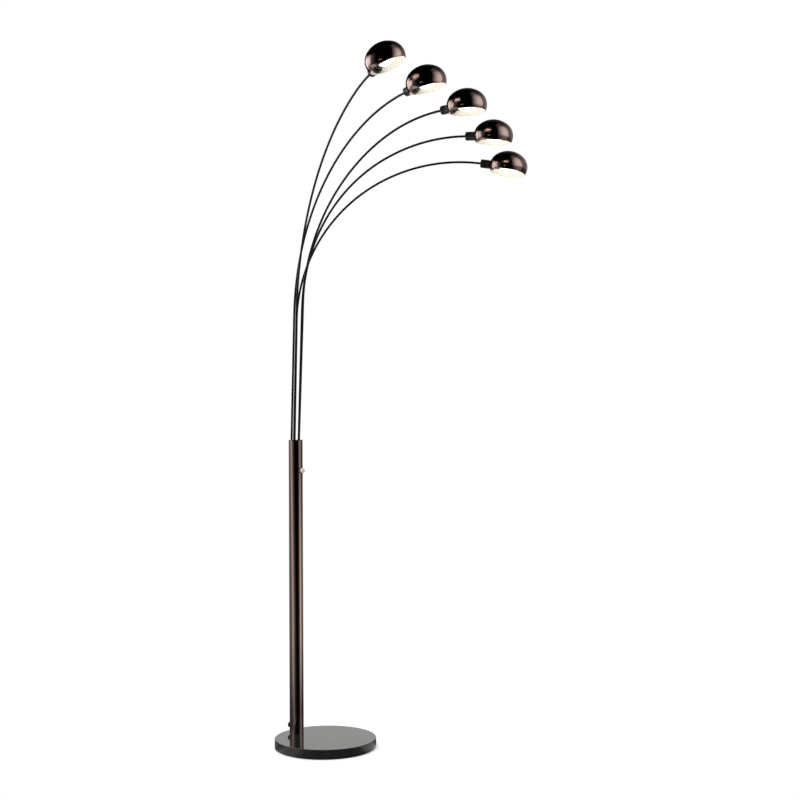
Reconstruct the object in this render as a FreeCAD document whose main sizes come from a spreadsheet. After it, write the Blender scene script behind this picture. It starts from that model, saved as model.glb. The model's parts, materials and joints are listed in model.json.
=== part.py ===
import FreeCAD, Part
import math
import os
import Sketcher
from FreeCAD import Placement, Rotation, Vector

# Tree floor lamp: a polished stone disc, an upright pole set back on it, and five thin arms that
# rise from the pole's cap, bend forward in a fan and carry one half-dome shade each.
# Origin: centre of the base at floor level. +Z is up, +X is the side the arms bend towards.

# Driving dimensions, in millimetres and degrees
SIZES = {
    # Stone base and its felt pad
    "base_radius": 150,
    "stone_thickness": 27,
    "stone_edge_round": 1.5,
    "pad_thickness": 2,
    "pad_margin": 5,
    "recess_radius": 20,
    "recess_depth": 15,
    "stud_radius": 5,
    "stud_clearance": 0.5,
    # Foot fasteners
    "washer_radius": 17,
    "washer_thickness": 2.5,
    "lock_washer_radius": 9,
    "lock_washer_thickness": 2.5,
    "lock_washer_slit": 2,
    "nut_across_flats": 17,
    "nut_height": 8,
    "stud_past_nut": 1,
    "plug_height": 12,
    # Pole and its cap
    "pole_setback": 111.3,
    "pole_radius": 21.2,
    "pole_wall": 1.2,
    "pole_length": 871,
    "slip_fit": 0.05,
    "cap_thickness": 8,
    "cap_chamfer": 2,
    "cap_spigot": 22,
    "arm_nut_to_pole": 2.4,
    # Cord inlet at the pole's back
    "inlet_height": 20,
    "inlet_bore": 3.6,
    "inlet_neck_radius": 5.5,
    "inlet_flange_radius": 8.5,
    "inlet_reach": 8,
    "inlet_neck_reach": 4,
    "inlet_round": 2,
    # Rotary switch on the pole's front
    "switch_width": 22,
    "switch_depth": 16,
    "switch_neck_radius": 4.5,
    "bezel_radius": 9,
    "bezel_reach": 1.2,
    "shaft_radius": 3,
    "knob_radius": 7,
    "knob_length": 9,
    "knob_round": 2,
    "running_gap": 0.3,
    # Leads and the block that joins them below the cap
    "switch_lead_length": 23.7,
    "lead_radius": 1.7,
    "lead_clearance": 0.4,
    "block_height": 16,
    "block_below_arms": 4,
    "block_socket": 8,
    # Arms
    "arm_radius": 3.25,
    "arm_bore": 2.2,
    "arm_neck_radius": 2.9,
    "arm_lead_in": 4,
    "arm_first_bend": 150,
    "arm_bend_change": 65,
    "arm_nut_radius": 5.5,
    "arm_nut_height": 5,
    "arm_past_nut": 2,
    "arm_into_cup": 8,
    "arm_to_cup": 4,
    # Lampholder, its cup and the ring that clamps the shade
    "cup_radius": 12.5,
    "cup_length": 28,
    "cup_wall": 1.2,
    "cup_round": 2.5,
    "cup_rib_radius": 0.8,
    "cup_rib_ends": 4,
    "holder_radius": 10.5,
    "holder_bore": 8.2,
    "holder_boss_radius": 7,
    "holder_boss_length": 8,
    "holder_front": 26,
    "ring_radius": 15,
    "ring_length": 8,
    "ring_notch_radius": 1.5,
    # Shade
    "shade_radius": 55.5,
    "shade_shoulder": 40,
    "shade_height": 45.5,
    "shade_drop": 18.5,
    "shade_wall": 0.9,
    # Bulb
    "bulb_base_radius": 7,
    "bulb_base_depth": 24,
    "bulb_neck_radius": 8,
    "bulb_radius": 17.5,
    "bulb_tip_radius": 6,
    "bulb_swell": 30,
    "bulb_length": 64,
    # Each arm: where it leaves the cap, which way it points and how it is bent
    "arm_1_root": -72, "arm_1_azimuth": -25.4, "arm_1_lean": 3.3, "arm_1_straight": 368,
    "arm_1_bend": 683.5, "arm_1_tip_bend": 498, "arm_1_tip": 76.1, "arm_1_roll": 19.5,
    "arm_2_root": -144, "arm_2_azimuth": -12.9, "arm_2_lean": 2.4, "arm_2_straight": 369,
    "arm_2_bend": 612, "arm_2_tip_bend": 581, "arm_2_tip": 80.9, "arm_2_roll": 11,
    "arm_3_root": 0, "arm_3_azimuth": -0.6, "arm_3_lean": 2.2, "arm_3_straight": 378,
    "arm_3_bend": 561, "arm_3_tip_bend": 502.5, "arm_3_tip": 87, "arm_3_roll": 0.5,
    "arm_4_root": 72, "arm_4_azimuth": 11.5, "arm_4_lean": 2.2, "arm_4_straight": 409,
    "arm_4_bend": 463, "arm_4_tip_bend": 530.5, "arm_4_tip": 93.7, "arm_4_roll": 0,
    "arm_5_root": 144, "arm_5_azimuth": 26, "arm_5_lean": 1.25, "arm_5_straight": 353,
    "arm_5_bend": 466.5, "arm_5_tip_bend": 500, "arm_5_tip": 98.6, "arm_5_roll": -5,
}
ARMS = ("1", "2", "3", "4", "5")
CUP_RIBS = 20
RING_NOTCHES = 8

# Origin planes of a body
GROUND = "XY_Plane"
UPRIGHT = "XZ_Plane"
SIDEWAYS = "YZ_Plane"

doc = FreeCAD.newDocument("tree_floor_lamp")
sheet = doc.addObject("Spreadsheet::Sheet", "Sizes")


class Size:
    """A length or an angle: its number, and the formula that ties it to the sheet."""

    def __init__(self, number, formula):
        self.number = float(number)
        self.formula = formula

    def combined(self, sign, other, number):
        return Size(number, f"({self.formula} {sign} {sized(other).formula})")

    def __add__(self, other):
        return self.combined("+", other, self.number + sized(other).number)

    def __sub__(self, other):
        return self.combined("-", other, self.number - sized(other).number)

    def __mul__(self, other):
        return self.combined("*", other, self.number * sized(other).number)

    def __truediv__(self, other):
        return self.combined("/", other, self.number / sized(other).number)

    def __neg__(self):
        return Size(-self.number, f"(-1 * {self.formula})")


def sized(value):
    return value if isinstance(value, Size) else Size(value, repr(float(value)))


def sine(angle):
    angle = sized(angle)
    return Size(math.sin(math.radians(angle.number)), f"sin({angle.formula} * 1 deg)")


def cosine(angle):
    angle = sized(angle)
    return Size(math.cos(math.radians(angle.number)), f"cos({angle.formula} * 1 deg)")


def root(square):
    return Size(math.sqrt(square.number), f"sqrt({square.formula})")


def leg(slant, other_leg):
    """The third side of a right triangle, such as how far along a circle a chord lies."""
    return root(slant * slant - other_leg * other_leg)


def fill_sheet():
    for row, (name, number) in enumerate(SIZES.items(), start=1):
        sheet.set(f"A{row}", name.replace("_", " "))
        sheet.set(f"B{row}", str(number))
        sheet.setAlias(f"B{row}", name)
    doc.recompute()


def size(name):
    return Size(SIZES[name], f"Sizes.{name}")


# Sketches, tied to the sheet point by point

def new_sketch(body, role, lift=None):
    plane = next(item for item in body.Origin.OriginFeatures if item.Role == role)
    sketch = body.newObject("Sketcher::SketchObject", "Outline")
    sketch.AttachmentSupport = (plane, [""])
    sketch.MapMode = "FlatFace"
    if lift is not None:
        sketch.AttachmentOffset = Placement(Vector(0, 0, lift.number), Rotation())
        sketch.setExpression("AttachmentOffset.Base.z", lift.formula)
    return sketch


def tie(sketch, kind, geometry, value):
    index = sketch.addConstraint(Sketcher.Constraint(kind, *geometry, value.number))
    sketch.setExpression(f"Constraints[{index}]", value.formula)


def fix_point(sketch, geometry, end, x, y):
    """Hold one end of an edge at x, y, or on the axis where the coordinate is a plain 0."""
    for kind, axis, value in (("DistanceX", -2, x), ("DistanceY", -1, y)):
        if isinstance(value, Size):
            tie(sketch, kind, (-1, 1, geometry, end), value)
        else:
            sketch.addConstraint(Sketcher.Constraint("PointOnObject", geometry, end, axis))


def draw_arc(sketch, start, finish, radius, turn):
    """Arc shorter than a half circle. A turn of 1 bends left, -1 bends right."""
    middle = (start + finish) * 0.5
    along = finish - start
    rise = math.sqrt(radius.number ** 2 - (along.Length / 2) ** 2)
    left = Vector(-along.y, along.x, 0).normalize()
    centre = middle + left * (rise * turn)
    circle = Part.Circle(centre, Vector(0, 0, 1), radius.number)
    first, last = (start, finish) if turn > 0 else (finish, start)
    angles = [math.atan2(point.y - centre.y, point.x - centre.x) for point in (first, last)]
    if angles[1] < angles[0]:
        angles[1] += 2 * math.pi
    edge = sketch.addGeometry(Part.ArcOfCircle(circle, *angles))
    tie(sketch, "Radius", (edge,), radius)
    return edge


def draw_outline(sketch, corners, closed=True):
    """Lines and arcs through corners (x, y), or (x, y, radius, turn) where an arc arrives."""
    places = [Vector(sized(corner[0]).number, sized(corner[1]).number, 0) for corner in corners]
    count = len(corners)
    starts = []
    ends = []
    for index in range(count if closed else count - 1):
        after = (index + 1) % count
        start, finish = places[index], places[after]
        if len(corners[after]) == 4:
            radius, turn = corners[after][2:]
            edge = draw_arc(sketch, start, finish, radius, turn)
            starts.append((edge, 1 if turn > 0 else 2))
            ends.append((edge, 2 if turn > 0 else 1))
        else:
            edge = sketch.addGeometry(Part.LineSegment(start, finish))
            starts.append((edge, 1))
            ends.append((edge, 2))
    for index, (edge, end) in enumerate(starts):
        if closed or index > 0:
            sketch.addConstraint(Sketcher.Constraint("Coincident", *ends[index - 1], edge, end))
        fix_point(sketch, edge, end, *corners[index][:2])
    if not closed:
        fix_point(sketch, *ends[-1], *corners[-1][:2])


def draw_circle(sketch, radius, x=0, y=0):
    place = Vector(sized(x).number, sized(y).number, 0)
    edge = sketch.addGeometry(Part.Circle(place, Vector(0, 0, 1), radius.number))
    fix_point(sketch, edge, 3, x, y)
    tie(sketch, "Radius", (edge,), radius)


# Features

def new_body(label):
    body = doc.addObject("PartDesign::Body", "Body")
    body.Label = label
    return body


def turned(label, corners, axis="V_Axis"):
    """A body of revolution. About V_Axis a corner is (radius, height), about H_Axis it is
    (place along the axis, radius)."""
    body = new_body(label)
    sketch = new_sketch(body, UPRIGHT)
    draw_outline(sketch, corners)
    feature = body.newObject("PartDesign::Revolution", "Turned")
    feature.Profile = sketch
    feature.ReferenceAxis = (sketch, [axis])
    feature.Angle = 360
    sketch.Visibility = False
    return body


def raised(body, sketch, length):
    feature = body.newObject("PartDesign::Pad", "Raised")
    feature.Profile = sketch
    feature.Length = length.number
    feature.setExpression("Length", length.formula)
    return feature


def cut_through(body, sketch):
    feature = body.newObject("PartDesign::Pocket", "Hole")
    feature.Profile = sketch
    feature.Type = "ThroughAll"
    feature.Midplane = True
    return feature


def cut_up(body, sketch, depth):
    """Cut from the sketch towards its plane's positive side."""
    feature = body.newObject("PartDesign::Pocket", "Recess")
    feature.Profile = sketch
    feature.Reversed = True
    feature.Length = depth.number
    feature.setExpression("Length", depth.formula)
    return feature


def repeat_round(body, feature, plane_role, count):
    """Copies of a feature round the normal of an origin plane."""
    axis_role = {GROUND: "Z_Axis", SIDEWAYS: "X_Axis"}[plane_role]
    axis = next(item for item in body.Origin.OriginFeatures if item.Role == axis_role)
    pattern = body.newObject("PartDesign::PolarPattern", "Round")
    pattern.Originals = [feature]
    pattern.Axis = (axis, [""])
    pattern.Angle = 360
    pattern.Occurrences = count
    body.Tip = pattern
    return pattern


def swept(label, corners, radii):
    """A round section swept along a path in the upright plane. Two radii make a tube."""
    body = new_body(label)
    path = new_sketch(body, UPRIGHT)
    draw_outline(path, corners, closed=False)
    section = new_sketch(body, GROUND, lift=corners[0][1])
    for radius in radii:
        draw_circle(section, radius)
    feature = body.newObject("PartDesign::AdditivePipe", "Swept")
    feature.Profile = section
    feature.Spine = (path, [""])
    path.Visibility = False
    return body


# Places

def pole_place():
    """The pole's axis at the level of the stone's top."""
    level = size("pad_thickness") + size("stone_thickness")
    return Placement(Vector(-size("pole_setback").number, 0, level.number), Rotation())


def up_the_pole(height):
    return pole_place() * Placement(Vector(0, 0, height.number), Rotation())


def cap_top():
    return size("pole_length") + size("cap_thickness")


def arm_circle_radius():
    """Circle of the arms' roots, as wide as lets their nuts clear the pole's wall."""
    return (size("pole_radius") - size("pole_wall") - size("arm_nut_to_pole")
            - size("arm_nut_radius"))


def switch_height():
    depth = (block_top_depth() + size("block_height") + size("switch_lead_length")
             + size("switch_width") / 2)
    return cap_top() - depth


def arm_size(arm, name):
    return size(f"arm_{arm}_{name}")


def arm_place(arm):
    """Where the arm's axis crosses the cap's top, with X towards the arm's tip."""
    angle = math.radians(arm_size(arm, "root").number)
    radius = arm_circle_radius().number
    spot = Vector(radius * math.cos(angle), radius * math.sin(angle), 0)
    facing = Rotation(Vector(0, 0, 1), arm_size(arm, "azimuth").number)
    return up_the_pole(cap_top()) * Placement(spot, facing)


def arm_corners(arm, below, beyond):
    """The arm's centre line in its own upright plane, from below the cap to past its tip."""
    lean, change, tip = arm_size(arm, "lean"), size("arm_bend_change"), arm_size(arm, "tip")
    corners = [(0, -below), (0, size("arm_lead_in"))]
    x, z = sized(0), size("arm_lead_in")
    bends = [(size("arm_first_bend"), sized(0), lean), None,
             (arm_size(arm, "bend"), lean, change), (arm_size(arm, "tip_bend"), change, tip)]
    for bend in bends:
        if bend is None:
            straight = arm_size(arm, "straight")
            x, z = x + straight * sine(lean), z + straight * cosine(lean)
            corners.append((x, z))
        else:
            radius, start, finish = bend
            x = x + radius * (cosine(start) - cosine(finish))
            z = z + radius * (sine(finish) - sine(start))
            corners.append((x, z, radius, -1))
    corners.append((x + beyond * sine(tip), z + beyond * cosine(tip)))
    return corners


def cup_back():
    """How far behind the shade's centre the cup's back face lies."""
    return cup_front() + size("cup_length")


def cup_front():
    """Clear of the shade's outside where the cup's edge comes nearest to it."""
    return leg(size("shade_radius"), size("holder_radius")) + size("running_gap")


def head_place(arm, roll=False):
    """Centre of the shade, with X along the lampholder's axis and Z up through the shade."""
    reach = size("arm_to_cup") + cup_back()
    x, z = arm_corners(arm, sized(1), reach)[-1]
    tilt = Rotation(Vector(0, 1, 0), arm_size(arm, "tip").number - 90)
    place = arm_place(arm) * Placement(Vector(x.number, 0, z.number), tilt)
    turn = arm_size(arm, "roll").number if roll else 0
    return place * Placement(Vector(), Rotation(Vector(1, 0, 0), turn))


# Base

def base_stone():
    top, rim, edge = size("stone_thickness"), size("base_radius"), size("stone_edge_round")
    body = turned("base_stone", [
        (0, 0), (rim - edge, 0), (rim, edge, edge, 1), (rim, top - edge),
        (rim - edge, top, edge, 1), (0, top)])
    recess = new_sketch(body, GROUND)
    draw_circle(recess, size("recess_radius"), x=-size("pole_setback"))
    cut_up(body, recess, size("recess_depth"))
    hole = new_sketch(body, GROUND)
    draw_circle(hole, size("stud_radius") + size("stud_clearance"), x=-size("pole_setback"))
    cut_through(body, hole)
    body.Placement = Placement(Vector(0, 0, size("pad_thickness").number), Rotation())


def base_pad():
    body = new_body("base_pad")
    sketch = new_sketch(body, GROUND)
    draw_circle(sketch, size("base_radius") - size("pad_margin"))
    draw_circle(sketch, size("recess_radius"), x=-size("pole_setback"))
    raised(body, sketch, size("pad_thickness"))


def recess_ceiling():
    return size("recess_depth") - size("stone_thickness")


def foot_plug():
    """Plug welded into the pole's foot, with the stud that passes through the stone."""
    radius, stud = size("pole_radius") - size("pole_wall") - size("slip_fit"), size("stud_radius")
    end = lock_washer_bottom() - size("nut_height") - size("stud_past_nut")
    top, chamfer = size("plug_height"), sized(1)
    body = turned("foot_plug", [
        (0, end), (stud - chamfer, end), (stud, end + chamfer), (stud, 0), (radius, 0),
        (radius, top - chamfer), (radius - chamfer, top), (0, top)])
    body.Placement = pole_place()


def washer_bottom():
    return recess_ceiling() - size("washer_thickness")


def lock_washer_bottom():
    return washer_bottom() - size("lock_washer_thickness")


def washer(label, outer, bottom, top):
    inner = size("stud_radius") + size("slip_fit")
    body = turned(label, [(inner, bottom), (outer, bottom), (outer, top), (inner, top)])
    body.Placement = pole_place()
    return body


def foot_lock_washer():
    body = washer("foot_lock_washer", size("lock_washer_radius"), lock_washer_bottom(),
                  washer_bottom())
    slit = new_sketch(body, GROUND)
    half, reach = size("lock_washer_slit") / 2, size("lock_washer_radius") + 1
    draw_outline(slit, [(0, -half), (reach, -half), (reach, half), (0, half)])
    cut_through(body, slit)


def foot_nut():
    body = new_body("foot_nut")
    sketch = new_sketch(body, GROUND, lift=lock_washer_bottom() - size("nut_height"))
    corner = size("nut_across_flats") / 2 / cosine(30)
    draw_outline(sketch, [
        (corner * cosine(60 * turn + 30) if turn not in (1, 4) else 0, corner * sine(60 * turn + 30))
        for turn in range(6)])
    draw_circle(sketch, size("stud_radius") + size("slip_fit"))
    raised(body, sketch, size("nut_height"))
    body.Placement = pole_place()


# Pole

def pole_tube():
    outer, length = size("pole_radius"), size("pole_length")
    inner = outer - size("pole_wall")
    body = turned("pole_tube", [(inner, 0), (outer, 0), (outer, length), (inner, length)])
    for height, radius, side in ((switch_height(), size("switch_neck_radius"), 1),
                                 (size("inlet_height"), size("inlet_neck_radius"), -1)):
        sketch = new_sketch(body, SIDEWAYS)
        draw_circle(sketch, radius + size("slip_fit"), y=height)
        feature = body.newObject("PartDesign::Pocket", "Hole")
        feature.Profile = sketch
        feature.Type = "ThroughAll"
        feature.Reversed = side > 0
    body.Placement = pole_place()


def pole_cap():
    outer, chamfer, flange = size("pole_radius"), size("cap_chamfer"), size("cap_thickness")
    inner = outer - size("pole_wall") - size("slip_fit")
    foot = flange + size("cap_spigot")
    body = turned("pole_cap", [
        (0, -foot), (inner, -foot), (inner, -flange), (outer, -flange), (outer, -chamfer),
        (outer - chamfer, 0), (0, 0)])
    holes = new_sketch(body, GROUND)
    for arm in ARMS:
        angle, radius = arm_size(arm, "root"), arm_circle_radius()
        y = radius * sine(angle) if SIZES[f"arm_{arm}_root"] else 0
        draw_circle(holes, size("arm_neck_radius") + size("slip_fit"), radius * cosine(angle), y)
    cut_through(body, holes)
    body.Placement = up_the_pole(cap_top())


def trim_to_pole(body, height):
    """Shape the back of a fitting to the round of the pole, and clear the pole's wall."""
    cutter = body.newObject("PartDesign::SubtractiveCylinder", "Saddle")
    radius, tall = size("pole_radius") + size("slip_fit"), size("pole_radius") * 2
    cutter.Radius, cutter.Height = radius.number, tall.number
    cutter.setExpression("Radius", radius.formula)
    cutter.setExpression("Height", tall.formula)
    cutter.AttachmentOffset = Placement(Vector(0, 0, (height - tall / 2).number), Rotation())
    cutter.setExpression("AttachmentOffset.Base.z", (height - tall / 2).formula)
    plane = next(item for item in body.Origin.OriginFeatures if item.Role == GROUND)
    cutter.AttachmentSupport = (plane, [""])
    cutter.MapMode = "FlatFace"


def cord_inlet():
    """Bushing in the pole's back, where a supply cord would come in."""
    bore, neck, flange = size("inlet_bore"), size("inlet_neck_radius"), size("inlet_flange_radius")
    pole, face = size("pole_radius"), size("pole_radius") + size("inlet_reach")
    round_edge = size("inlet_round")
    body = turned("cord_inlet", [
        (-face, bore), (-face, flange - round_edge), (-face + round_edge, flange, round_edge, -1),
        (-leg(pole, flange), flange), (-leg(pole, flange), bore)], axis="H_Axis")
    trim_to_pole(body, sized(0))
    overlap = size("inlet_reach") / 2
    through = new_sketch(body, SIDEWAYS, lift=-pole - overlap)
    draw_circle(through, neck)
    draw_circle(through, bore)
    raised(body, through, overlap + size("inlet_neck_reach"))
    body.Placement = up_the_pole(size("inlet_height"))


def switch_body():
    """Rotary switch: a square housing inside the pole, its neck through the wall and a shaft."""
    half, depth, neck = size("switch_width") / 2, size("switch_depth"), size("switch_neck_radius")
    front = leg(size("pole_radius") - size("pole_wall"), half) - size("running_gap")
    body = new_body("switch_body")
    housing = new_sketch(body, SIDEWAYS, lift=front - depth)
    draw_outline(housing, [(-half, -half), (half, -half), (half, half), (-half, half)])
    raised(body, housing, depth)
    for radius, reach in ((neck, bezel_face()), (size("shaft_radius"), shaft_end())):
        sketch = new_sketch(body, SIDEWAYS, lift=front)
        draw_circle(sketch, radius)
        raised(body, sketch, reach - front)
    body.Placement = up_the_pole(switch_height())


def bezel_face():
    return size("pole_radius") + size("bezel_reach")


def knob_back():
    return bezel_face() + size("running_gap")


def shaft_end():
    return knob_back() + size("knob_length") - size("knob_round") - 1


def switch_bezel():
    inner, outer = size("switch_neck_radius") + size("slip_fit"), size("bezel_radius")
    saddle, face = leg(size("pole_radius"), outer), bezel_face()
    body = turned("switch_bezel", [(saddle, inner), (face, inner), (face, outer), (saddle, outer)],
                  axis="H_Axis")
    trim_to_pole(body, sized(0))
    body.Placement = up_the_pole(switch_height())


def switch_knob():
    back, radius, edge = knob_back(), size("knob_radius"), size("knob_round")
    front, bore = knob_back() + size("knob_length"), size("shaft_radius") + size("slip_fit")
    seat = shaft_end() + size("slip_fit")
    body = turned("switch_knob", [
        (back, bore), (seat, bore), (seat, 0), (front, 0), (front, radius - edge),
        (front - edge, radius, edge, 1), (back, radius)], axis="H_Axis")
    body.Placement = up_the_pole(switch_height())


# Leads inside the pole

def arm_end_depth():
    """How far below the cap's top the arms' threaded ends reach."""
    return (size("cap_thickness") + size("cap_spigot") + size("running_gap")
            + size("arm_nut_height") + size("arm_past_nut"))


def block_top_depth():
    return arm_end_depth() + size("block_below_arms")


def splice_block():
    """Disc that joins the five arm leads to the one from the switch."""
    radius = size("pole_radius") - size("pole_wall") - size("running_gap")
    top, bottom = -block_top_depth(), -block_top_depth() - size("block_height")
    chamfer = sized(1)
    body = turned("splice_block", [
        (0, bottom), (radius - chamfer, bottom), (radius, bottom + chamfer),
        (radius, top - chamfer), (radius - chamfer, top), (0, top)])
    sockets = new_sketch(body, GROUND, lift=top - size("block_socket"))
    for arm in ARMS:
        angle, spread = arm_size(arm, "root"), arm_circle_radius()
        y = spread * sine(angle) if SIZES[f"arm_{arm}_root"] else 0
        draw_circle(sockets, size("lead_radius") + size("lead_clearance"),
                    spread * cosine(angle), y)
    cut_up(body, sockets, size("block_socket"))
    body.Placement = up_the_pole(cap_top())


def switch_lead():
    top = cap_top() - block_top_depth() - size("block_height")
    bottom = switch_height() + size("switch_width") / 2
    body = new_body("switch_lead")
    sketch = new_sketch(body, GROUND, lift=bottom)
    draw_circle(sketch, size("lead_radius"))
    raised(body, sketch, top - bottom)
    body.Placement = pole_place()


# Arms and what they carry

def arm_tube(arm):
    """Bent tube, necked down to a thread where it passes through the cap."""
    beyond = size("arm_to_cup") + size("arm_into_cup")
    end = arm_end_depth()
    body = swept(f"arm_tube_{arm}", arm_corners(arm, end, beyond),
                 (size("arm_radius"), size("arm_bore")))
    neck, past, shoulder = size("arm_neck_radius"), size("arm_radius") + 1, size("slip_fit")
    sketch = new_sketch(body, UPRIGHT)
    low = -end - 1
    draw_outline(sketch, [(neck, low), (past, low), (past, shoulder), (neck, shoulder)])
    groove = body.newObject("PartDesign::Groove", "Neck")
    groove.Profile = sketch
    groove.ReferenceAxis = (sketch, ["V_Axis"])
    groove.Angle = 360
    body.Placement = arm_place(arm)


def arm_nut(arm):
    """Round nut that holds the arm's neck below the cap."""
    top = -(size("cap_thickness") + size("cap_spigot") + size("running_gap"))
    bottom = top - size("arm_nut_height")
    inner, outer = size("arm_neck_radius") + size("slip_fit"), size("arm_nut_radius")
    body = turned(f"arm_nut_{arm}", [
        (inner, bottom), (outer, bottom), (outer, top), (inner, top)])
    body.Placement = arm_place(arm)


def arm_lead(arm):
    """Lead that runs inside the tube, from the splice block to the lampholder."""
    below = block_top_depth() + size("block_socket") - size("lead_clearance")
    beyond = size("arm_to_cup") + size("cup_wall") + size("holder_boss_length")
    body = swept(f"arm_lead_{arm}", arm_corners(arm, below, beyond), (size("lead_radius"),))
    body.Placement = arm_place(arm)


def socket_cup(arm):
    """Ribbed cup round the back of the lampholder, open towards the shade."""
    back, front = -cup_back(), -cup_front()
    outer, edge, wall = size("cup_radius"), size("cup_round"), size("cup_wall")
    hole = size("arm_radius") + size("slip_fit")
    body = turned(f"socket_cup_{arm}", [
        (back, hole), (back, outer - edge), (back + edge, outer, edge, -1), (front, outer),
        (front, outer - wall), (back + wall, outer - wall), (back + wall, hole)], axis="H_Axis")
    ends = size("cup_rib_ends")
    rib = new_sketch(body, SIDEWAYS, lift=back + ends)
    draw_circle(rib, size("cup_rib_radius"), x=outer)
    groove = cut_up(body, rib, front - back - ends * 2)
    repeat_round(body, groove, SIDEWAYS, CUP_RIBS)
    body.Placement = head_place(arm)


def lampholder(arm):
    """Holder inside the cup: its boss takes the tube's end, its bore takes the bulb's base."""
    back = -cup_back() + size("cup_wall")
    boss, boss_end = size("holder_boss_radius"), back + size("holder_boss_length")
    radius, bore, front = size("holder_radius"), size("holder_bore"), -size("holder_front")
    seat = front - size("bulb_base_depth") - size("running_gap")
    tube = size("arm_radius") + size("slip_fit")
    tube_end = back - size("cup_wall") + size("arm_into_cup") + size("running_gap")
    wire, wire_end = size("lead_radius") + size("slip_fit"), boss_end + size("slip_fit")
    body = turned(f"lampholder_{arm}", [
        (back, tube), (back, boss), (boss_end, boss), (boss_end, radius), (front, radius),
        (front, bore), (seat, bore), (seat, 0), (wire_end, 0), (wire_end, wire),
        (tube_end, wire), (tube_end, tube)], axis="H_Axis")
    body.Placement = head_place(arm)


def shade_ring(arm):
    """Notched ring on the lampholder that clamps the shade from inside."""
    outer, inner = size("ring_radius"), size("holder_radius") + size("slip_fit")
    inside = size("shade_shoulder") - size("shade_wall")
    back = -(size("shade_radius") - size("shade_shoulder") + leg(inside, outer))
    back = back + size("running_gap")
    front, edge = back + size("ring_length"), sized(1)
    body = turned(f"shade_ring_{arm}", [
        (back, inner), (back, outer), (front - edge, outer), (front, outer - edge),
        (front, inner)], axis="H_Axis")
    notch = new_sketch(body, SIDEWAYS, lift=back + size("ring_length") / 3)
    draw_circle(notch, size("ring_notch_radius"), x=outer + size("ring_notch_radius") / 3)
    groove = cut_up(body, notch, size("ring_length"))
    repeat_round(body, groove, SIDEWAYS, RING_NOTCHES)
    body.Placement = head_place(arm)


def shade(arm):
    """Spun half dome: a wide crown arc that runs into a tighter shoulder arc, cut below the
    widest line, with a hole at the back for the lampholder."""
    wide, high, drop = size("shade_radius"), size("shade_height"), size("shade_drop")
    shoulder, wall = size("shade_shoulder"), size("shade_wall")
    offset = wide - shoulder
    # Crown radius for which the two arcs are tangent
    crown = (offset * offset + high * high - shoulder * shoulder) / (high - shoulder) / 2
    centre = high - crown
    # Unit vector from the crown's centre through the shoulder's centre to the meeting point
    across, up = offset / (crown - shoulder), -centre / (crown - shoulder)
    outer_meet = (offset + shoulder * across, shoulder * up)
    inner = shoulder - wall
    inner_meet = (offset + inner * across, inner * up)
    outer_rim, inner_rim = offset + leg(shoulder, drop), offset + leg(inner, drop)
    body = turned(f"shade_{arm}", [
        (0, high - wall, crown - wall, 1), (0, high), (*outer_meet, crown, -1),
        (outer_rim, -drop, shoulder, -1), (inner_rim, -drop), (*inner_meet, inner, 1)])
    hole = new_sketch(body, SIDEWAYS)
    draw_circle(hole, size("holder_radius") + size("running_gap"))
    feature = body.newObject("PartDesign::Pocket", "Hole")
    feature.Profile = hole
    feature.Type = "ThroughAll"
    body.Placement = head_place(arm, roll=True)


def bulb(arm):
    """Small candle lamp: its base in the lampholder, its envelope along the shade."""
    base, neck, belly = size("bulb_base_radius"), size("bulb_neck_radius"), size("bulb_radius")
    mouth = -size("holder_front")
    back, start = mouth - size("bulb_base_depth"), mouth + 1
    widest, tip = mouth + size("bulb_swell"), mouth + size("bulb_length")
    nose = size("bulb_tip_radius")
    nose_start = tip - nose / 3
    nose_height = leg(nose, nose - nose / 3)
    rear = ((widest - start) * (widest - start) + (belly - neck) * (belly - neck)) / (belly - neck) / 2
    run, fall = nose_start - widest, belly - nose_height
    fore = (run * run + fall * fall) / fall / 2
    body = turned(f"bulb_{arm}", [
        (back, 0), (back, base - 2), (back + 2, base), (mouth, base), (start, neck),
        (widest, belly, rear, -1), (nose_start, nose_height, fore, -1),
        (tip, 0, nose, -1)], axis="H_Axis")
    body.Placement = head_place(arm)


def build():
    fill_sheet()
    base_stone()
    base_pad()
    foot_plug()
    washer("foot_washer", size("washer_radius"), washer_bottom(), recess_ceiling())
    foot_lock_washer()
    foot_nut()
    pole_tube()
    pole_cap()
    cord_inlet()
    switch_body()
    switch_bezel()
    switch_knob()
    splice_block()
    switch_lead()
    for arm in ARMS:
        arm_tube(arm)
        arm_nut(arm)
        arm_lead(arm)
        socket_cup(arm)
        lampholder(arm)
        shade_ring(arm)
        shade(arm)
        bulb(arm)
    doc.recompute()


def check_and_write():
    broken = [item.Label for item in doc.Objects if {"Invalid", "Error"} & set(item.State)]
    if broken:
        raise RuntimeError(f"failed features: {broken}")
    bodies = [item for item in doc.Objects if item.TypeId == "PartDesign::Body"]
    for body in bodies:
        if body.Shape.isNull() or not body.Shape.isValid():
            raise RuntimeError(f"{body.Label} has no valid shape")
    os.makedirs("parts", exist_ok=True)
    for body in bodies:
        body.Shape.exportStep(f"parts/{body.Label}.step")
        print(body.Label, len(body.Shape.Solids), round(body.Shape.Volume, 1))


build()
check_and_write()
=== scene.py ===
import json
import math

import bmesh
import bpy
from mathutils import Matrix, Vector

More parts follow.
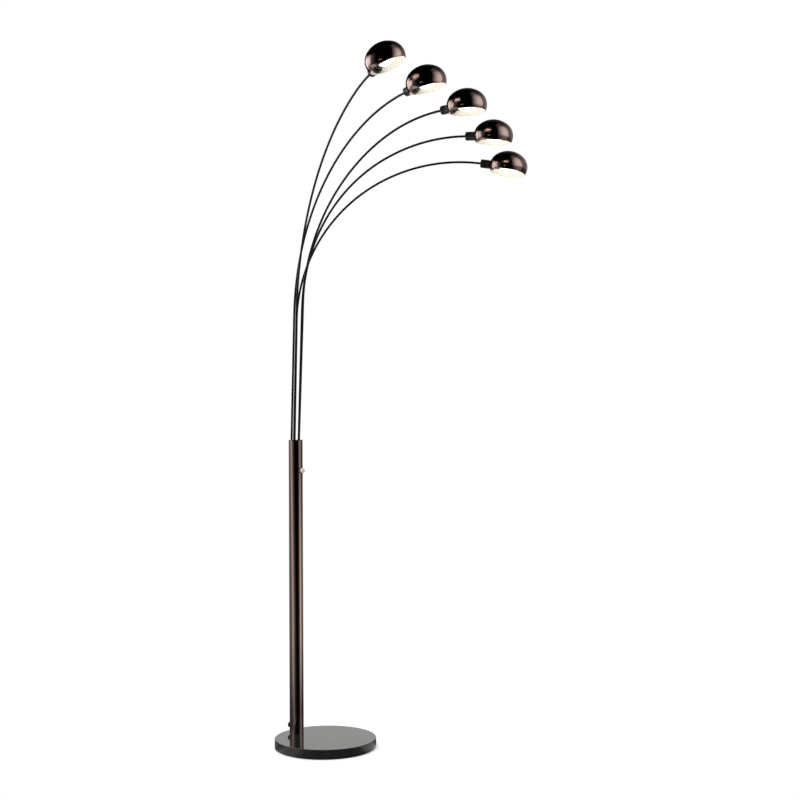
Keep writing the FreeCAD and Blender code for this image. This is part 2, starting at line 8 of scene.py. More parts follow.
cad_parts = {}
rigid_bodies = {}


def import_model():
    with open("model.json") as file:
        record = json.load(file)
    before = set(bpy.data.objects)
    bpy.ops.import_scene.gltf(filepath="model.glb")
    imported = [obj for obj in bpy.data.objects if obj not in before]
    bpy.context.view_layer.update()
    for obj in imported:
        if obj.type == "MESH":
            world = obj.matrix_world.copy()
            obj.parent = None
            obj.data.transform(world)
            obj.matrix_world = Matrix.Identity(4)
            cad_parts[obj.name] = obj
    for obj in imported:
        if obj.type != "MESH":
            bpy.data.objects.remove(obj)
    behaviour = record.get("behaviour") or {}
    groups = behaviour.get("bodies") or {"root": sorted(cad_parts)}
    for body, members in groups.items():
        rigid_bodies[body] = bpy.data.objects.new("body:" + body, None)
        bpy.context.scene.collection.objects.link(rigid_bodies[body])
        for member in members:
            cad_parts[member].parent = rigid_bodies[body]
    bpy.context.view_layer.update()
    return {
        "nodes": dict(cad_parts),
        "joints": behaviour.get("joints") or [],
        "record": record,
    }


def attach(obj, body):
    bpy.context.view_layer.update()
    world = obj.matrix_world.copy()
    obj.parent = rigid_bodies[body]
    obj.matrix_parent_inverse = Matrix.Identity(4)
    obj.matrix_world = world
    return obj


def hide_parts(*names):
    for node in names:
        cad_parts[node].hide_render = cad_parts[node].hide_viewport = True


# Everything is in metres: the origin is the centre of the base on the floor, +Z is up and +X is
# the side the arms bend towards.

for item in list(bpy.data.objects):
    bpy.data.objects.remove(item)

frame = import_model()
nodes = frame["nodes"]
joints = {joint["name"]: joint for joint in frame["joints"]}

ARMS = (1, 2, 3, 4, 5)

# Heads: the shade, its holder, the cup and ring round it, and its bulb
SHADE_ROLL_DEG = {1: 19.5, 2: 11, 3: 0.5, 4: 0, 5: -5}
SHADE_RADIUS = 0.0555
SHADE_SHOULDER = 0.040
SHADE_HEIGHT = 0.0455
SHADE_DROP = 0.0185
SHADE_WALL = 0.0009
SHADE_SKIN = 0.00005
HOLDER_RADIUS = 0.0105
HOLDER_FRONT = -0.026
RUNNING_GAP = 0.0003
PRESS_GAP = 0.00005
CUP_RADIUS = 0.0125
CUP_LENGTH = 0.028
CUP_FRONT = -math.sqrt(SHADE_RADIUS ** 2 - HOLDER_RADIUS ** 2) - RUNNING_GAP
CUP_BACK = CUP_FRONT - CUP_LENGTH
CUP_WALL = 0.0012
CUP_RIBS = 20
CUP_GROOVE = 0.0008
RING_RADIUS = 0.015
RING_LENGTH = 0.008
RING_NOTCHES = 8
RING_NOTCH = 0.001
ARM_RADIUS = 0.00325
BULB_BASE_RADIUS = 0.007
BULB_BASE_DEPTH = 0.024
BULB_NECK_RADIUS = 0.008
BULB_RADIUS = 0.0175
BULB_TIP_RADIUS = 0.006
BULB_SWELL = 0.030
BULB_LENGTH = 0.064
BULB_THREAD_TURNS = 5
BULB_THREAD = 0.0004

# Switch knob
KNOB_FLUTES = 24
KNOB_FLUTE = 0.0003

# Camera, at the photograph's viewing angle
VIEW_AZIMUTH_DEG = 36
SENSOR_WIDTH_MM = 36
PICTURE_WIDTH_PX = 800
FOCAL_LENGTH_PX = 1389
CAMERA_PLACE = (2.5971, -3.1933, 1.0262)
CAMERA_ROLL_DEG = -0.22

# Studio: a pale floor in soft light, and a wall round the lamp that only the gloss sees
FLOOR_HEIGHT = -0.0005
SOFT_LEVEL = 0.45
WHITE_LEVEL = 1.0
WALL_RADIUS = 1.6
WALL_TOP = 7.0
KEY_LAMP_SIZE = 2.2
KEY_LAMP_WATTS = 60

# Studio lights: two high ones and a small one in front for the shades, two low ones for the pole.
# Azimuths are degrees, heights are metres. Axis: (low, high, azimuth low, azimuth high).
# Sides, off the axis, and ends, up the wall: (from, to, share from, share to).
STUDIO_DARK = 0.004
BEHIND_LOW = 0.94
BEHIND_HIGH = 0.02
STUDIO_LIGHTS = [
    {"peak": 3.4, "axis": (1.5, 2.5, 70, 70),
     "sides": [(-38, -4, 0.0, 1.0), (5, 22, 1.0, 0.17), (50, 80, 1.0, 0.5)],
     "ends": [(1.45, 1.8, 0.2, 1.0), (0.8, 1.2, 0.0, 1.0), (2.1, 3.7, 1.0, 0.13),
              (4.5, 6.5, 1.0, 0.0)]},
    {"peak": 4.6, "axis": (1.5, 2.5, -105, -105),
     "sides": [(-33, -24, 0.0, 1.0), (20, 42, 1.0, 0.08), (42, 72, 1.0, 0.0)],
     "ends": [(1.1, 1.7, 0.15, 1.0), (0.8, 1.2, 0.0, 1.0), (2.15, 2.85, 1.0, 0.0)]},
    {"peak": 1.0, "axis": (0.2, 0.85, 81, 78),
     "sides": [(-24, -10, 0.12, 1.0), (8, 24, 1.0, 0.14), (-44, -26, 0.0, 1.0),
               (55, 75, 1.0, 0.0)],
     "ends": [(0.3, 0.85, 2.6, 1.4), (0.9, 1.1, 1.0, 0.0)]},
    {"peak": 1.8, "axis": (1.2, 1.7, -12, -12),
     "sides": [(-9, -5, 0.0, 1.0), (5, 9, 1.0, 0.0)],
     "ends": [(1.40, 1.45, 0.0, 1.0), (1.50, 1.55, 1.0, 0.0)]},
    {"peak": 1.9, "axis": (0.15, 0.85, -54, -77),
     "sides": [(-26, -12, 0.3, 1.0), (10, 28, 1.0, 0.14), (28, 62, 1.0, 0.0),
               (-80, -60, 0.0, 1.0)],
     "ends": [(0.9, 1.1, 1.0, 0.0)]}]


# Shader helpers

class Graph:
    """The node tree of a material or world, with short calls for the nodes used here."""

    def __init__(self, owner):
        owner.use_nodes = True
        self.tree = owner.node_tree
        self.tree.nodes.clear()

    def add(self, kind, inputs=None, **settings):
        node = self.tree.nodes.new(kind)
        for name, value in settings.items():
            setattr(node, name, value)
        for key, value in (inputs or {}).items():
            self.put(node.inputs[key], value)
        return node

    def put(self, socket, value):
        if isinstance(value, bpy.types.NodeSocket):
            self.tree.links.new(value, socket)
        else:
            socket.default_value = value

    def place(self):
        """Position on the object, in metres."""
        return self.add("ShaderNodeTexCoord").outputs["Object"]

    def noise(self, scale, detail=3.0, roughness=0.5, place=None):
        node = self.add("ShaderNodeTexNoise", {
            "Vector": place or self.place(), "Scale": scale, "Detail": detail,
            "Roughness": roughness})
        return node.outputs["Fac"]

    def remap(self, value, low, high, to_low, to_high, curve="LINEAR"):
        node = self.add("ShaderNodeMapRange", {
            "Value": value, "From Min": low, "From Max": high,
            "To Min": to_low, "To Max": to_high}, interpolation_type=curve)
        return node.outputs["Result"]

    def smooth(self, value, low, high, to_low, to_high):
        return self.remap(value, low, high, to_low, to_high, curve="SMOOTHSTEP")

    def math(self, operation, first, second=0.0):
        node = self.add("ShaderNodeMath", {0: first, 1: second}, operation=operation)
        return node.outputs["Value"]

    def mix(self, factor, first, second):
        node = self.add("ShaderNodeMix", data_type="RGBA")
        self.put(node.inputs["Factor"], factor)
        self.put(node.inputs["A"], first if not isinstance(first, tuple) else (*first, 1))
        self.put(node.inputs["B"], second if not isinstance(second, tuple) else (*second, 1))
        return node.outputs["Result"]

    def bump(self, height, distance):
        node = self.add("ShaderNodeBump", {
            "Height": height, "Distance": distance, "Strength": 1.0})
        return node.outputs["Normal"]

    def finish(self, **inputs):
        shader = self.add("ShaderNodeBsdfPrincipled")
        for name, value in inputs.items():
            name = name.replace("_", " ")
            self.put(shader.inputs[name], (*value, 1) if isinstance(value, tuple) else value)
        self.add("ShaderNodeOutputMaterial", {"Surface": shader.outputs["BSDF"]})


def new_material(name):
    material = bpy.data.materials.new(name)
    return material, Graph(material)


# Materials

def dark_nickel():
    material, graph = new_material("dark_nickel")
    smudges = graph.noise(9, detail=5, roughness=0.6)
    scuffs = graph.noise(260, detail=2)
    tone = graph.mix(smudges, (0.175, 0.122, 0.108), (0.145, 0.104, 0.095))
    graph.finish(
        Base_Color=tone, Metallic=1.0,
        Roughness=graph.remap(smudges, 0.3, 0.7, 0.07, 0.13),
        Normal=graph.bump(scuffs, 0.000004))
    return material


def white_enamel():
    material, graph = new_material("white_enamel")
    peel = graph.noise(900, detail=2)
    tone = graph.mix(graph.noise(30), (0.88, 0.855, 0.82), (0.86, 0.83, 0.79))
    graph.finish(Base_Color=tone, Roughness=0.35, Normal=graph.bump(peel, 0.00003))
    return material


def lit_opal():
    material, graph = new_material("lit_opal")
    haze = graph.noise(60, detail=2)
    glow = graph.mix(haze, (1.0, 0.94, 0.82), (1.0, 0.92, 0.79))
    graph.finish(
        Base_Color=(0.92, 0.90, 0.86), Roughness=0.25, Emission_Color=glow,
        Emission_Strength=3.0)
    return material


def black_lacquer():
    material, graph = new_material("black_lacquer")
    wear = graph.noise(40, detail=5)
    graph.finish(
        Base_Color=graph.mix(wear, (0.0022, 0.002, 0.0019), (0.0045, 0.0042, 0.004)),
        Roughness=graph.remap(wear, 0.3, 0.7, 0.34, 0.42), Specular_IOR_Level=0.2,
        Normal=graph.bump(graph.noise(500), 0.000004))
    return material


def black_plastic():
    material, graph = new_material("black_plastic")
    grain = graph.noise(1500, detail=3)
    wear = graph.noise(70, detail=4)
    graph.finish(
        Base_Color=graph.mix(wear, (0.010, 0.006, 0.004), (0.006, 0.004, 0.003)),
        Roughness=graph.remap(wear, 0.3, 0.7, 0.10, 0.16), Specular_IOR_Level=0.4,
        Normal=graph.bump(grain, 0.000004))
    return material


def black_stone():
    material, graph = new_material("black_stone")
    place = graph.place()
    cloud = graph.noise(22, detail=6, roughness=0.65, place=place)
    crystals = graph.add("ShaderNodeTexVoronoi", {"Vector": place, "Scale": 420.0})
    flecks = graph.add("ShaderNodeTexVoronoi", {"Vector": place, "Scale": 95.0})
    size = graph.add("ShaderNodeSeparateColor", {"Color": flecks.outputs["Color"]})
    rare = graph.math("GREATER_THAN", size.outputs["Red"], 0.985)
    small = graph.math("LESS_THAN", flecks.outputs["Distance"], 0.16)
    fleck = graph.math("MULTIPLY", rare, small)
    ground = graph.mix(cloud, (0.008, 0.008, 0.009), (0.026, 0.026, 0.025))
    speck = graph.add("ShaderNodeSeparateColor", {"Color": crystals.outputs["Color"]})
    bright = graph.math("GREATER_THAN", speck.outputs["Green"], 0.88)
    ground = graph.mix(graph.math("MULTIPLY", bright, 0.5), ground, (0.05, 0.052, 0.05))
    tone = graph.mix(fleck, ground, (0.75, 0.74, 0.70))
    graph.finish(
        Base_Color=tone, Roughness=graph.remap(cloud, 0.3, 0.7, 0.03, 0.07), IOR=1.52)
    return material


def felt():
    material, graph = new_material("felt")
    fibres = graph.noise(2600, detail=4, roughness=0.7)
    tone = graph.mix(fibres, (0.012, 0.012, 0.013), (0.05, 0.05, 0.052))
    graph.finish(
        Base_Color=tone, Roughness=0.95, Sheen_Weight=0.3,
        Normal=graph.bump(fibres, 0.0004))
    return material


def zinc_steel():
    material, graph = new_material("zinc_steel")
    crystals = graph.add("ShaderNodeTexVoronoi", {"Vector": graph.place(), "Scale": 500.0})
    grey = graph.add("ShaderNodeSeparateColor", {"Color": crystals.outputs["Color"]})
    tone = graph.mix(grey.outputs["Red"], (0.50, 0.51, 0.52), (0.62, 0.62, 0.61))
    graph.finish(
        Base_Color=tone, Metallic=1.0,
        Roughness=graph.remap(grey.outputs["Green"], 0, 1, 0.28, 0.45),
        Normal=graph.bump(graph.noise(1800), 0.00001))
    return material


def ivory_plastic():
    material, graph = new_material("ivory_plastic")
    tone = graph.mix(graph.noise(160), (0.84, 0.80, 0.72), (0.80, 0.755, 0.665))
    graph.finish(
        Base_Color=tone, Roughness=0.22, Subsurface_Weight=0.15, Subsurface_Scale=0.002,
        Normal=graph.bump(graph.noise(1200), 0.00001))
    return material


def white_ceramic():
    material, graph = new_material("white_ceramic")
    tone = graph.mix(graph.noise(90), (0.80, 0.79, 0.76), (0.72, 0.71, 0.67))
    graph.finish(Base_Color=tone, Roughness=0.3, Normal=graph.bump(graph.noise(700), 0.00003))
    return material


def lead_sheath():
    material, graph = new_material("lead_sheath")
    tone = graph.mix(graph.noise(300), (0.03, 0.03, 0.03), (0.055, 0.055, 0.055))
    graph.finish(Base_Color=tone, Roughness=0.55, Normal=graph.bump(graph.noise(2500), 0.00003))
    return material


MATERIALS = {
    "black_nickel": dark_nickel(), "shade_enamel": white_enamel(), "opal_glass": lit_opal(),
    "black_lacquer": black_lacquer(), "black_plastic": black_plastic(),
    "black_stone": black_stone(), "felt": felt(),
    "zinc_steel": zinc_steel(), "ivory_plastic": ivory_plastic(),
    "white_ceramic": white_ceramic(), "lead_sheath": lead_sheath()}

for entry in frame["record"]["subparts"]:
    mesh = nodes[entry["node"]].data
    mesh.materials.clear()
    mesh.materials.append(MATERIALS[entry["material_slot"]])


# Frames of the five heads

def head_frame(arm, rolled=False):
    """Centre of a shade, with X along the lampholder's axis and Z up through the shade."""
    joint = joints[f"shade_{arm}_turn"]
    along = Vector(joint["axis"]).normalized()
    side = Vector((0, 0, 1)).cross(along).normalized()
    up = along.cross(side)
    turn = Matrix((along, side, up)).transposed().to_4x4()
    roll = Matrix.Rotation(math.radians(SHADE_ROLL_DEG[arm] if rolled else 0), 4, "X")
    return Matrix.Translation(joint["pos_m"]) @ turn @ roll


def arc(centre, radius, start, finish, steps):
    """Points of an arc, angles in degrees from the first axis."""
    angles = [math.radians(start + (finish - start) * step / steps) for step in range(steps + 1)]
    return [(centre[0] + radius * math.cos(a), centre[1] + radius * math.sin(a)) for a in angles]


def softened(corners, steps=4):
    """Rows of a turned outline with its corners rounded off. A corner is (along, radius, paint,
    rounding, groove). Rows beside each rounding keep the flats flat."""
    rows = [corners[0][:3] + corners[0][4:]]
    for index in range(1, len(corners) - 1):
        along, radius, paint, rounding, groove = corners[index]
        corner = Vector((along, radius))
        before = Vector(corners[index - 1][:2]) - corner
        after = Vector(corners[index + 1][:2]) - corner
        reach = min(rounding, 0.45 * before.length, 0.45 * after.length)
        if reach <= 0:
            rows.append((along, radius, paint, groove))
            continue
        first = corner + before.normalized() * reach
        last = corner + after.normalized() * reach
        support = 0.25 * reach
        next_paint, next_groove = corners[index + 1][2], corners[index + 1][4]
        start = first + before.normalized() * support
        rows.append((start.x, start.y, paint, groove))
        for step in range(steps + 1):
            t = step / steps
            spot = first * (1 - t) ** 2 + corner * (2 * t * (1 - t)) + last * t ** 2
            rows.append((spot.x, spot.y, paint, groove))
        end = last + after.normalized() * support
        rows.append((end.x, end.y, next_paint, next_groove if groove else 0.0))
    rows.append(corners[-1][:3] + corners[-1][4:])
    return rows


def groove_depth(angle, count, width):
    """1 in the middle of each of the grooves round a turned piece, 0 between them."""
    turn = angle * count / (2 * math.pi)
    from_middle = abs(turn - round(turn)) / (width / 2)
    return 0.0 if from_middle >= 1 else math.cos(from_middle * math.pi / 2)


def lathe(name, rows, materials, place, axis="X", segments=96, count=0, width=0.5, closed=False):
    """A turned mesh. Rows are (along, radius, paint, groove), the groove being how deep the
    grooves along the piece are there."""
    work = bmesh.new()
    rings = []
    for along, radius, _, groove in rows:
        ring = []
        for step in range(1 if radius < 1e-7 else segments):
            angle = 2 * math.pi * step / segments
            cut = groove * groove_depth(angle, count, width) if groove else 0.0
            across = ((radius - cut) * math.cos(angle), (radius - cut) * math.sin(angle))
            ring.append(work.verts.new((*across, along) if axis == "Z" else (along, *across)))
        rings.append(ring)
    pairs = [(index, index + 1) for index in range(len(rows) - 1)]
    if closed:
        pairs.append((len(rows) - 1, 0))
    for low_index, high_index in pairs:
        low, high = rings[low_index], rings[high_index]
        for step in range(segments):
            after = (step + 1) % segments
            corners = [low[step % len(low)], low[after % len(low)],
                       high[after % len(high)], high[step % len(high)]]
            corners = list(dict.fromkeys(corners))
            if len(corners) > 2:
                face = work.faces.new(corners)
                face.material_index = rows[high_index][2]
                face.smooth = True
    bmesh.ops.recalc_face_normals(work, faces=work.faces)
    return finish_mesh(name, work, materials, place)


def finish_mesh(name, work, materials, place):
    mesh = bpy.data.meshes.new(name)
    work.to_mesh(mesh)
    work.free()
    for material in materials:
        mesh.materials.append(material)
    mesh.transform(place)
    piece = bpy.data.objects.new(name, mesh)
    bpy.context.scene.collection.objects.link(piece)
    return piece


def cut_away(piece, cutter):
    """Take the cutter's shape out of the piece and drop the cutter."""
    modifier = piece.modifiers.new("cut", "BOOLEAN")
    modifier.object = cutter
    modifier.operation = "DIFFERENCE"
    modifier.solver = "EXACT"
    bpy.context.view_layer.update()
    seen = piece.evaluated_get(bpy.context.evaluated_depsgraph_get())
    mesh = bpy.data.meshes.new_from_object(seen)
    piece.modifiers.clear()
    piece.data = mesh
    mesh.name = piece.name
    bpy.data.objects.remove(cutter)


def stand_for(piece, node, body):
    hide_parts(node)
    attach(piece, body)


# Heads

def shade_rows(radius_less, paint):
    """Rows of the shade's outside or inside, from the crown to the rim, radius_less within the
    shade's full size."""
    offset = SHADE_RADIUS - SHADE_SHOULDER
    crown = ((offset ** 2 + SHADE_HEIGHT ** 2 - SHADE_SHOULDER ** 2)
             / (SHADE_HEIGHT - SHADE_SHOULDER) / 2)
    centre = SHADE_HEIGHT - crown
    meet = math.degrees(math.atan2(-centre, offset))
    foot = -math.degrees(math.asin(SHADE_DROP / (SHADE_SHOULDER - radius_less)))
    points = arc((0, centre), crown - radius_less, 90, meet, 20)
    points += arc((offset, 0), SHADE_SHOULDER - radius_less, meet, foot, 28)[1:]
    return [(along, max(radius, 0.0), paint, 0.0) for radius, along in points]


def add_shade(arm):
    outside, inside = shade_rows(SHADE_SKIN, 0), shade_rows(SHADE_WALL, 1)
    outside[0] = (outside[0][0], 0.0, 0, 0.0)
    inside[0] = (inside[0][0], 0.0, 1, 0.0)
    lip_middle = (outside[-1][1] + inside[-1][1]) / 2
    lip = [(-SHADE_DROP + SHADE_WALL * 0.05, outside[-1][1] - SHADE_WALL * 0.02, 0, 0.0),
           (-SHADE_DROP, lip_middle, 0, 0.0)]
    rows = outside[:-1] + lip + inside[::-1]
    place = head_frame(arm, rolled=True)
    piece = lathe(f"shade_{arm}_spun", rows, [SHELL, ENAMEL], place, axis="Z", segments=160)
    hole = HOLDER_RADIUS + RUNNING_GAP
    plug = [(-0.08, 0.0, 0, 0.0), (-0.08, hole, 0, 0.0), (-0.02, hole, 0, 0.0),
            (-0.02, 0.0, 0, 0.0)]
    cut_away(piece, lathe("plug", plug, [SHELL], place, segments=64))
    stand_for(piece, f"shade_{arm}", f"shade_body_{arm}")


def bulb_rows():
    """Screw base with its contact, a rolled thread, and the opal candle above it."""
    back, mouth = HOLDER_FRONT - BULB_BASE_DEPTH, HOLDER_FRONT
    start, widest, tip = mouth + 0.001, mouth + BULB_SWELL, mouth + BULB_LENGTH
    rows = [(back, 0.0, 2, 0.0), (back, 0.0022, 2, 0.0), (back + 0.0008, 0.0028, 2, 0.0),
            (back + 0.001, 0.0046, 3, 0.0), (back + 0.0025, 0.0062, 3, 0.0)]
    steps = 40
    low, high = back + 0.003, mouth - 0.006
    for step in range(steps + 1):
        wave = math.cos(2 * math.pi * BULB_THREAD_TURNS * step / steps)
        rows.append((low + (high - low) * step / steps,
                     BULB_BASE_RADIUS - BULB_THREAD + BULB_THREAD * wave, 2, 0.0))
    rows += [(mouth - 0.005, BULB_BASE_RADIUS - 0.0001, 2, 0.0), (mouth, BULB_BASE_RADIUS, 2, 0.0)]
    swell, spread = widest - start, BULB_RADIUS - BULB_NECK_RADIUS
    rear = (swell ** 2 + spread ** 2) / spread / 2
    nose_start = tip - BULB_TIP_RADIUS / 3
    nose_radius = math.sqrt(BULB_TIP_RADIUS ** 2 - (BULB_TIP_RADIUS * 2 / 3) ** 2)
    run, fall = nose_start - widest, BULB_RADIUS - nose_radius
    fore = (run ** 2 + fall ** 2) / fall / 2
    for step in range(17):
        along = start + swell * step / 16
        radius = BULB_RADIUS - rear + math.sqrt(rear ** 2 - (along - widest) ** 2)
        rows.append((along, radius, 1 if step else 2, 0.0))
    for step in range(1, 21):
        along = widest + run * step / 20
        radius = BULB_RADIUS - fore + math.sqrt(fore ** 2 - (along - widest) ** 2)
        rows.append((along, radius, 1, 0.0))
    centre = tip - BULB_TIP_RADIUS
    for step in range(1, 7):
        angle = math.radians(math.degrees(math.acos(2 / 3)) * (1 - step / 6))
        rows.append((centre + BULB_TIP_RADIUS * math.cos(angle),
                     BULB_TIP_RADIUS * math.sin(angle), 1, 0.0))
    return rows


def add_bulb(arm):
    rows = bulb_rows()
    rows[-1] = (rows[-1][0], 0.0, 1, 0.0)
    paints = [MATERIALS["opal_glass"], MATERIALS["opal_glass"], MATERIALS["zinc_steel"],
              MATERIALS["black_plastic"]]
    piece = lathe(f"bulb_{arm}_candle", rows, paints, head_frame(arm), segments=64)
    stand_for(piece, f"bulb_{arm}", f"arm_{arm}")


def add_socket_cup(arm):
    """Ribbed cup: grooves run along its side, between a plain rounded back and a plain edge."""
    hole = ARM_RADIUS + PRESS_GAP
    corners = [
        (CUP_BACK, hole, 0, 0, 0), (CUP_BACK, hole + 0.0015, 0, 0.0003, 0),
        (CUP_BACK, CUP_RADIUS, 0, 0.0034, 0), (CUP_BACK + 0.0046, CUP_RADIUS, 0, 0.0001, 0),
        (CUP_BACK + 0.0052, CUP_RADIUS, 0, 0.0, CUP_GROOVE),
        (CUP_FRONT - 0.0048, CUP_RADIUS, 0, 0.0, CUP_GROOVE),
        (CUP_FRONT - 0.0042, CUP_RADIUS, 0, 0.0001, 0),
        (CUP_FRONT, CUP_RADIUS, 0, 0.0004, 0), (CUP_FRONT, CUP_RADIUS - CUP_WALL, 0, 0.0003, 0),
        (CUP_BACK + CUP_WALL, CUP_RADIUS - CUP_WALL, 0, 0.001, 0),
        (CUP_BACK + CUP_WALL, hole, 0, 0.0, 0)]
    piece = lathe(f"socket_cup_{arm}_ribbed", softened(corners), [MATERIALS["black_plastic"]],
                  head_frame(arm), segments=240, count=CUP_RIBS, width=0.42, closed=True)
    stand_for(piece, f"socket_cup_{arm}", f"arm_{arm}")


def add_ring(arm):
    """Clamping ring with notches round its front edge."""
    inside = SHADE_SHOULDER - SHADE_WALL
    back = (SHADE_SHOULDER - SHADE_RADIUS - math.sqrt(inside ** 2 - RING_RADIUS ** 2)
            + RUNNING_GAP)
    front, hole = back + RING_LENGTH, HOLDER_RADIUS + PRESS_GAP
    corners = [
        (back, hole, 0, 0, 0), (back, RING_RADIUS, 0, 0.0004, 0),
        (back + 0.0026, RING_RADIUS, 0, 0.0, 0),
        (back + 0.0028, RING_RADIUS, 0, 0.0, RING_NOTCH),
        (front - 0.001, RING_RADIUS, 0, 0.0003, RING_NOTCH),
        (front, RING_RADIUS - 0.001, 0, 0.0002, 0),
        (front, hole + 0.0008, 0, 0.0003, 0), (front - 0.0006, hole, 0, 0.0, 0)]
    piece = lathe(f"shade_ring_{arm}_notched", softened(corners), [MATERIALS["black_plastic"]],
                  head_frame(arm), segments=192, count=RING_NOTCHES, width=0.24, closed=True)
    stand_for(piece, f"shade_ring_{arm}", f"arm_{arm}")


def add_knob():
    """Switch knob with a finely fluted grip and a shallow dish in its face."""
    corners = [nodes["switch_knob"].matrix_world @ Vector(spot)
               for spot in nodes["switch_knob"].bound_box]
    low = Vector([min(spot[axis] for spot in corners) for axis in range(3)])
    high = Vector([max(spot[axis] for spot in corners) for axis in range(3)])
    middle, radius, length = (low + high) / 2, (high.z - low.z) / 2, high.x - low.x
    rows = softened([
        (0.0, 0.0, 0, 0, 0), (0.0, radius - 0.0004, 0, 0.0002, 0),
        (0.0006, radius, 0, 0.0002, KNOB_FLUTE),
        (length - 0.0026, radius, 0, 0.0004, KNOB_FLUTE),
        (length - 0.0006, radius - 0.0012, 0, 0.0008, 0), (length, radius - 0.0026, 0, 0.0004, 0),
        (length - 0.0006, radius - 0.0042, 0, 0.0006, 0), (length - 0.0007, 0.0, 0, 0, 0)])
    place = Matrix.Translation((low.x, middle.y, middle.z))
    piece = lathe("switch_knob_fluted", rows, [MATERIALS["ivory_plastic"]], place,
                  segments=192, count=KNOB_FLUTES, width=0.6)
    stand_for(piece, "switch_knob", "knob")


SHELL = MATERIALS["black_nickel"]
ENAMEL = MATERIALS["shade_enamel"]

for arm in ARMS:
    add_shade(arm)
    add_bulb(arm)
    add_socket_cup(arm)
    add_ring(arm)
add_knob()


# Camera

def add_camera():
    data = bpy.data.cameras.new("camera")
    data.sensor_width = SENSOR_WIDTH_MM
    data.lens = SENSOR_WIDTH_MM * FOCAL_LENGTH_PX / PICTURE_WIDTH_PX
    camera = bpy.data.objects.new("camera", data)
    bpy.context.scene.collection.objects.link(camera)
    turned = Matrix.Rotation(math.radians(VIEW_AZIMUTH_DEG), 4, "Z")
    level = turned @ Matrix.Rotation(math.radians(90), 4, "X")
    roll = Matrix.Rotation(math.radians(CAMERA_ROLL_DEG), 4, "Z")
    camera.matrix_world = Matrix.Translation(CAMERA_PLACE) @ level @ roll
    bpy.context.scene.camera = camera


add_camera()


# Floor, world and lamps

def studio_place(right, toward, height):
    """A place round the lamp: metres to the camera's right, towards the camera, and up."""
    turn = math.radians(VIEW_AZIMUTH_DEG)
    return Vector((right * math.cos(turn) + toward * math.sin(turn),
                   right * math.sin(turn) - toward * math.cos(turn), height))


def hide_from(item, *rays):
    for ray in rays:
        setattr(item, f"visible_{ray}", False)


def add_stage_mesh(name, rings, material):
    """Stage piece made of rows of points with faces between them."""
    work = bmesh.new()
    rows = [[work.verts.new(spot) for spot in ring] for ring in rings]
    for low, high in zip(rows, rows[1:]):
        for index in range(len(low) - 1):
            work.faces.new((low[index], low[index + 1], high[index + 1], high[index]))
    piece = finish_mesh(name, work, [material], Matrix())
    return piece


def add_floor():
    turns = [math.radians(5 * step) for step in range(73)]
    rings = [[(r * math.cos(turn), r * math.sin(turn), FLOOR_HEIGHT) for turn in turns]
             for r in (0.001, 2.0, 14.0)]
    material, graph = new_material("pale_floor")
    place = graph.place()
    away = graph.add("ShaderNodeVectorMath", {0: place}, operation="LENGTH").outputs["Value"]
    near = graph.remap(away, 0.30, 0.9, 1.0, 0.0)
    tone = graph.mix(graph.noise(2.5), (0.86, 0.86, 0.86), (0.84, 0.84, 0.84))
    paint = graph.add("ShaderNodeBsdfDiffuse", {"Color": tone}).outputs[0]
    white = graph.add("ShaderNodeEmission", {"Strength": WHITE_LEVEL}).outputs[0]
    lift = graph.add("ShaderNodeEmission", {"Strength": SOFT_LEVEL}).outputs[0]
    lit = graph.add("ShaderNodeAddShader", {0: paint, 1: lift}).outputs[0]
    seen = graph.add("ShaderNodeMixShader", {0: near, 1: white, 2: lit}).outputs[0]
    # In reflections the floor shows painted light instead of its lit paint: a glow shaped like the
    # studio lights round the lamp, painted darker near the base as shade.
    painted_floor_light = studio_light(graph, lamp_view(graph, place), 0.1)
    painted_floor_light = graph.math("MULTIPLY", painted_floor_light, graph.smooth(away, 0.3, 1.4, 0.3, 0.8))
    dim = graph.add("ShaderNodeEmission", {"Strength": painted_floor_light}).outputs[0]
    rays = graph.add("ShaderNodeLightPath").outputs
    straight = graph.math("MAXIMUM", rays["Is Camera Ray"], rays["Is Transmission Ray"])
    mirrored = graph.add("ShaderNodeMixShader", {0: rays["Is Glossy Ray"], 1: paint, 2: dim})
    surface = graph.add("ShaderNodeMixShader", {0: straight, 1: mirrored.outputs[0], 2: seen})
    graph.add("ShaderNodeOutputMaterial", {"Surface": surface.outputs[0]})
    material.cycles.emission_sampling = "NONE"
    add_stage_mesh("floor", rings, material)


def add_world():
    world = bpy.data.worlds.new("studio")
    bpy.context.scene.world = world
    graph = Graph(world)
    soft = graph.add("ShaderNodeBackground", {"Color": (1, 1, 1, 1), "Strength": SOFT_LEVEL})
    white = graph.add("ShaderNodeBackground", {"Color": (1, 1, 1, 1), "Strength": WHITE_LEVEL})
    rays = graph.add("ShaderNodeLightPath").outputs
    seen = graph.math("MAXIMUM", rays["Is Camera Ray"], rays["Is Glossy Ray"])
    seen = graph.math("MAXIMUM", seen, rays["Is Transmission Ray"])
    mixed = graph.add("ShaderNodeMixShader", {0: seen, 1: soft.outputs[0], 2: white.outputs[0]})
    graph.add("ShaderNodeOutputWorld", {"Surface": mixed.outputs[0]})


def lamp_view(graph, place):
    """Degrees round the lamp from the camera's side, positive to its right."""
    dots = [graph.add("ShaderNodeVectorMath", {0: place, 1: studio_place(*way)},
                      operation="DOT_PRODUCT").outputs["Value"]
            for way in ((1, 0, 0), (0, 1, 0))]
    return graph.math("DEGREES", graph.math("ARCTAN2", *dots))


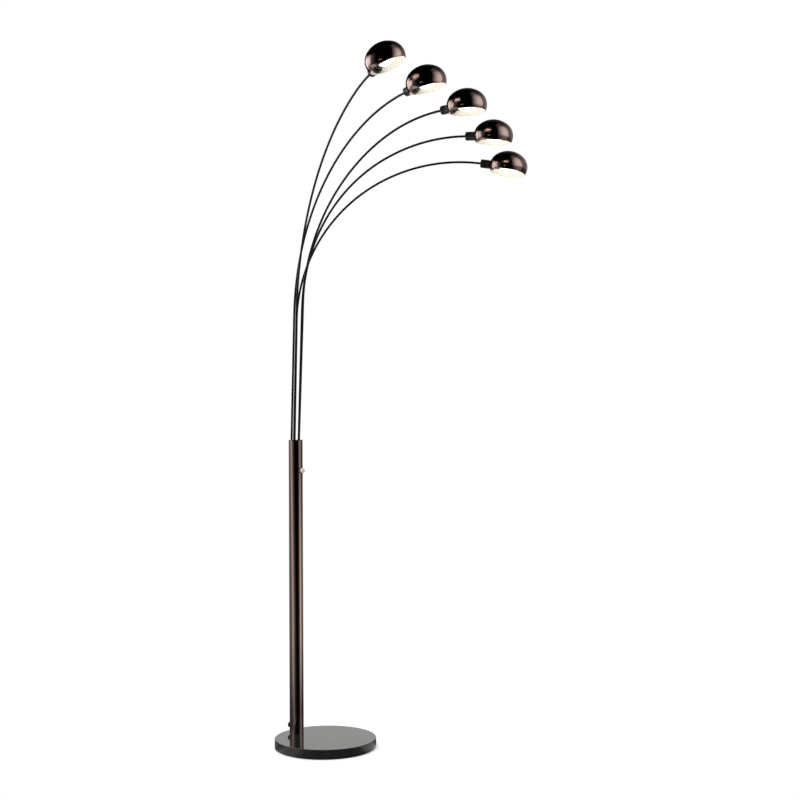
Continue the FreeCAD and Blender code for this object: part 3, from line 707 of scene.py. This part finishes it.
def studio_light(graph, azimuth, height):
    """How bright the studio is in the gloss, at an azimuth and a height."""
    behind = graph.smooth(graph.math("ABSOLUTE", azimuth), 138, 162, 0.0, 1.0)
    level = graph.smooth(height, 0.9, 1.4, BEHIND_LOW, BEHIND_HIGH)
    level = graph.math("MULTIPLY", level, graph.smooth(height, 2.3, 2.8, 1.0, 0.0))
    total = graph.math("ADD", graph.math("MULTIPLY", behind, level), STUDIO_DARK)
    for light in STUDIO_LIGHTS:
        aside = graph.math("SUBTRACT", azimuth, graph.remap(height, *light["axis"]))
        shape = light["peak"]
        for edge in light["sides"]:
            shape = graph.math("MULTIPLY", shape, graph.smooth(aside, *edge))
        for edge in light["ends"]:
            shape = graph.math("MULTIPLY", shape, graph.smooth(height, *edge))
        total = graph.math("ADD", total, shape)
    return total


def add_light_wall():
    """The studio round the lamp as only the gloss sees it: a wall with tall soft lights on it
    and the dark between them."""
    turns = [math.radians(azimuth) for azimuth in range(-180, 181, 5)]

    def around(height, share=1.0):
        reach = share * WALL_RADIUS
        return [studio_place(reach * math.sin(turn), reach * math.cos(turn), height)
                for turn in turns]

    material, graph = new_material("studio_lights")
    place = graph.place()
    height = graph.add("ShaderNodeSeparateXYZ", {"Vector": place}).outputs["Z"]
    light = studio_light(graph, lamp_view(graph, place), height)
    tint = graph.add("ShaderNodeEmission", {"Color": (1.0, 0.99, 0.975, 1), "Strength": light})
    graph.add("ShaderNodeOutputMaterial", {"Surface": tint.outputs[0]})
    material.cycles.emission_sampling = "NONE"
    rings = [around(height) for height in (-0.1, 0.6, 1.2, 1.8, 2.4, 3.0, 4.0, WALL_TOP)]
    wall = add_stage_mesh("light_wall", rings + [around(WALL_TOP, 0.001)], material)
    hide_from(wall, "camera", "diffuse", "shadow", "transmission")


def add_key_lamp():
    """A broad soft lamp above, for the matt surfaces and the shadow on the floor."""
    data = bpy.data.lights.new("key_lamp", "AREA")
    data.shape = "SQUARE"
    data.size = KEY_LAMP_SIZE
    data.energy = KEY_LAMP_WATTS
    lamp = bpy.data.objects.new("key_lamp", data)
    bpy.context.scene.collection.objects.link(lamp)
    spot = studio_place(-0.6, 1.2, 3.6)
    aim = studio_place(0, 0, 0.8) - spot
    turned = aim.to_track_quat("-Z", "Y").to_matrix().to_4x4()
    lamp.matrix_world = Matrix.Translation(spot) @ turned
    hide_from(lamp, "glossy")


add_floor()
add_world()
add_light_wall()
add_key_lamp()

view = bpy.context.scene.view_settings
view.view_transform = "Standard"
